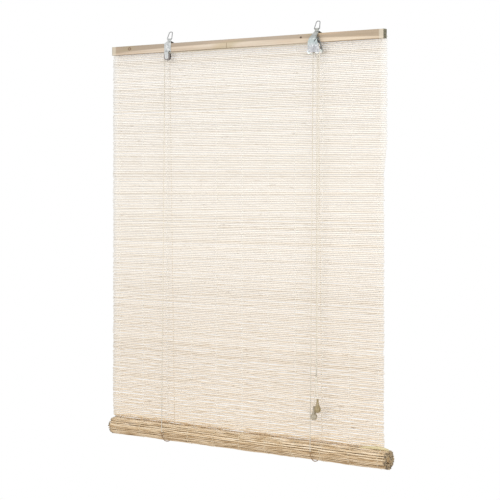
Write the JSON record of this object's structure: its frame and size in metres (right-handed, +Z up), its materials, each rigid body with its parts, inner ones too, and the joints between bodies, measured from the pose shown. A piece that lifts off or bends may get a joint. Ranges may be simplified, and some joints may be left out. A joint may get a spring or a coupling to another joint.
{
  "type": "bamboo roll up blind",
  "caption": "Woven split-bamboo window blind on a wooden headrail, rolled up at the lower end by two looped cords that run over sheaves to a cord lock and end in turned wooden tassels.",
  "frame": {"origin": "middle of the headrail's top face", "axes": "+Z up, from the roll towards the hanging loops; +X along the headrail to the right as seen from the room; -Y towards the room"},
  "size_m": [0.8135, 0.0721, 1.0159],
  "materials": {
    "pine": "satin",
    "bamboo": "satin",
    "dowel": "matte",
    "staple_steel": "satin",
    "plated_wire": "polished",
    "plated_steel": "satin",
    "dark_steel": "satin",
    "white_nylon": "matte",
    "cord": "matte",
    "tassel_light": "gloss",
    "tassel_dark": "gloss"
  },
  "bodies": {
    "rail": {"headrail": "pine", "mat": "bamboo", "mat_lower_bend": "bamboo", "mat_staples": "staple_steel", "anchor_staples": "staple_steel", "hanger_left": "plated_steel", "hanger_right": "plated_steel", "lock_inner_plate": "plated_steel", "sheave_strap": "plated_steel", "rivet_left": "plated_wire", "screw_left": "plated_wire", "screw_right": "plated_wire", "lock_rivets": "plated_wire", "cross_cord": "cord", "lift_cord_bend": "cord", "lift_left_front": "cord", "lift_left_back": "cord", "lift_right_front": "cord", "lift_right_back": "cord", "pull_cord_back": "cord", "pull_cord_front": "cord"},
    "carriage": {"cradle_left": "cord", "cradle_right": "cord"},
    "roll": {"roll_turns": "bamboo", "bottom_rod": "dowel"},
    "tassels": {"cord_knot": "cord", "tassel_cord_upper": "cord", "tassel_cord_lower": "cord", "tassel_upper": "tassel_light", "tassel_lower": "tassel_dark"},
    "left_sheave": {"sheave_left": "dark_steel"},
    "lift_sheave": {"sheave_lift": "white_nylon"},
    "cross_sheave": {"sheave_cross": "white_nylon"},
    "left_guide": {"guide_roller_left": "white_nylon"},
    "right_guide": {"guide_roller_right": "white_nylon"},
    "lock": {"lock_roller": "dark_steel"},
    "left_bail": {"bail_left": "plated_wire"},
    "right_bail": {"bail_right": "plated_wire"}
  },
  "joints": [
    {"name": "roll_lift", "type": "slide", "parent": "rail", "child": "carriage", "axis": [0, 0, 1], "range_m": [-0.35, 0.86], "deforming": ["mat", "mat_lower_bend", "lift_left_front", "lift_right_front", "lift_left_back", "lift_right_back"]},
    {"name": "roll_spin", "type": "hinge", "parent": "carriage", "child": "roll", "pos_m": [0, 0.01, -0.9595], "axis": [1, 0, 0], "continuous": true},
    {"name": "tassel_drop", "type": "slide", "parent": "rail", "child": "tassels", "axis": [0, 0, 1], "range_m": [-1.73, 0.71], "deforming": ["pull_cord_back", "pull_cord_front"]},
    {"name": "left_sheave_spin", "type": "hinge", "parent": "rail", "child": "left_sheave", "pos_m": [-0.216, -0.0101, -0.033], "axis": [0, 1, 0], "continuous": true},
    {"name": "lift_sheave_spin", "type": "hinge", "parent": "rail", "child": "lift_sheave", "pos_m": [0.2205, -0.0111, -0.0295], "axis": [0, 1, 0], "continuous": true},
    {"name": "cross_sheave_spin", "type": "hinge", "parent": "rail", "child": "cross_sheave", "pos_m": [0.23, -0.0163, -0.0295], "axis": [0, 1, 0], "continuous": true},
    {"name": "left_guide_spin", "type": "hinge", "parent": "rail", "child": "left_guide", "pos_m": [0.2095, -0.0137, -0.042], "axis": [0, 1, 0], "continuous": true},
    {"name": "right_guide_spin", "type": "hinge", "parent": "rail", "child": "right_guide", "pos_m": [0.23075, -0.0137, -0.042], "axis": [0, 1, 0], "continuous": true},
    {"name": "lock_slide", "type": "slide", "parent": "rail", "child": "lock", "axis": [0.6018, 0, 0.7986], "range_m": [0, 0.005]},
    {"name": "left_bail_swing", "type": "hinge", "parent": "rail", "child": "left_bail", "pos_m": [-0.218, 0, 0.0105], "axis": [1, 0, 0], "range_deg": [-65, 100]},
    {"name": "right_bail_swing", "type": "hinge", "parent": "rail", "child": "right_bail", "pos_m": [0.218, 0, 0.0105], "axis": [1, 0, 0], "range_deg": [-65, 100]}
  ],
  "couplings": [
    {"joint": "roll_spin", "follows": "roll_lift", "rad_per_m": -41.152},
    {"joint": "tassel_drop", "follows": "roll_lift", "ratio": -2},
    {"joint": "left_sheave_spin", "follows": "roll_lift", "rad_per_m": 232.56},
    {"joint": "lift_sheave_spin", "follows": "roll_lift", "rad_per_m": 363.64},
    {"joint": "cross_sheave_spin", "follows": "roll_lift", "rad_per_m": 363.64},
    {"joint": "left_guide_spin", "follows": "roll_lift", "rad_per_m": -363.64}
  ]
}
